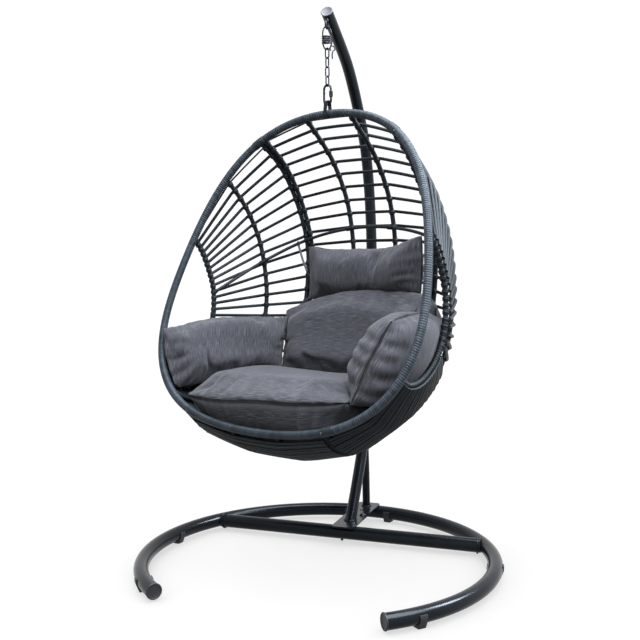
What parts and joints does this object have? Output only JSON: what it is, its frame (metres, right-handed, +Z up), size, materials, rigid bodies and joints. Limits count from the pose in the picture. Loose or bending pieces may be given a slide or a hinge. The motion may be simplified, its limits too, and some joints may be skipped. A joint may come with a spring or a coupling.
{
  "type": "hanging egg chair",
  "caption": "Hanging egg chair: a curved steel floor stand with a spring hanger holds an open woven wicker basket with soft charcoal cushions.",
  "frame": {"origin": "middle of the bounding box's footprint, on the floor under the feet", "axes": "+Z up, -Y towards the chair's front (the open side of the floor ring), +X to the right seen from the front"},
  "size_m": [1.2494, 1.1682, 1.9259],
  "materials": {
    "black_steel": "satin black powder coat",
    "rib_steel": "satin black tube with strands wound round it where they cross",
    "black_plastic": "moulded matt black",
    "zinc_steel": "zinc plated, slightly dull",
    "wicker": "anthracite resin wicker with a soft sheen",
    "charcoal_fabric": "heathered charcoal slub weave"
  },
  "bodies": {
    "stand": {"base_ring": "black_steel", "cross_tube": "black_steel", "base_plate": "black_steel", "mast": "black_steel", "rear_strut": "black_steel", "hook_eye": "black_steel", "foot_1": "black_plastic", "foot_2": "black_plastic", "foot_3": "black_plastic", "foot_4": "black_plastic", "foot_5": "black_plastic", "foot_6": "black_plastic", "end_cap_right": "black_plastic", "end_cap_left": "black_plastic", "mast_cap": "black_plastic", "plate_bolt_1": "zinc_steel", "plate_bolt_2": "zinc_steel"},
    "spring_top": {"spring_upper_bar": "zinc_steel", "spring_coil": "zinc_steel"},
    "spring_foot": {"spring_lower_bar": "zinc_steel", "safety_hook": "zinc_steel"},
    "chain": {"chain_link_1": "zinc_steel", "chain_link_2": "zinc_steel", "chain_link_3": "zinc_steel", "chain_link_4": "zinc_steel"},
    "quick_link": {"quick_link": "zinc_steel"},
    "quick_link_nut": {"quick_link_nut": "zinc_steel"},
    "basket": {"brace": "black_steel", "rim_eye": "zinc_steel", "rib_clip_left": "zinc_steel", "rib_clip_right": "zinc_steel", "rim_top": "wicker", "rim_right": "wicker", "rim_bottom": "wicker", "rim_left": "wicker", "collar_top_right": "wicker", "collar_top_left": "wicker", "collar_bottom_right": "wicker", "collar_bottom_left": "wicker", "weave_back": "wicker", "weave_seat": "wicker", "weave_wing_left": "wicker", "weave_wing_right": "wicker", "weave_side_left": "wicker", "weave_side_right": "wicker", "rib_a_left": "rib_steel", "rib_b_left": "rib_steel", "rib_c_outer_left": "rib_steel", "rib_c_inner_left": "rib_steel", "rib_d_left": "rib_steel", "rib_a_right": "rib_steel", "rib_b_right": "rib_steel", "rib_c_outer_right": "rib_steel", "rib_c_inner_right": "rib_steel", "rib_d_right": "rib_steel", "cushion_seat": "charcoal_fabric", "cushion_back": "charcoal_fabric", "cushion_arm_left": "charcoal_fabric", "cushion_arm_right": "charcoal_fabric", "cushion_head": "charcoal_fabric"}
  },
  "joints": [
    {"name": "sideways_swing", "type": "hinge", "parent": "stand", "child": "spring_top", "pos_m": [0.0005, 0.0468, 1.8515], "axis": [0, 1, 0], "range_deg": [-8, 8]},
    {"name": "spring_stretch", "type": "slide", "parent": "spring_top", "child": "spring_foot", "axis": [0, 0, -1], "range_m": [0, 0.03], "stiffness_N_per_m": 12000, "springref_m": -0.01188, "deforming": ["spring_coil"]},
    {"name": "fore_aft_swing", "type": "hinge", "parent": "spring_foot", "child": "chain", "pos_m": [0.0005, 0.0468, 1.779], "axis": [1, 0, 0], "range_deg": [-12, 3]},
    {"name": "swivel", "type": "hinge", "parent": "chain", "child": "quick_link", "pos_m": [0.0005, 0.0468, 1.65], "axis": [0, 0, 1], "range_deg": [-30, 35]},
    {"name": "sleeve_slide", "type": "slide", "parent": "quick_link", "child": "quick_link_nut", "axis": [0, 0, -1], "range_m": [0, 0.008]},
    {"name": "basket_nod", "type": "hinge", "parent": "quick_link", "child": "basket", "pos_m": [0.0005, 0.0468, 1.5886], "axis": [0.9461, -0.3239, 0], "range_deg": [-8, 3]}
  ]
}
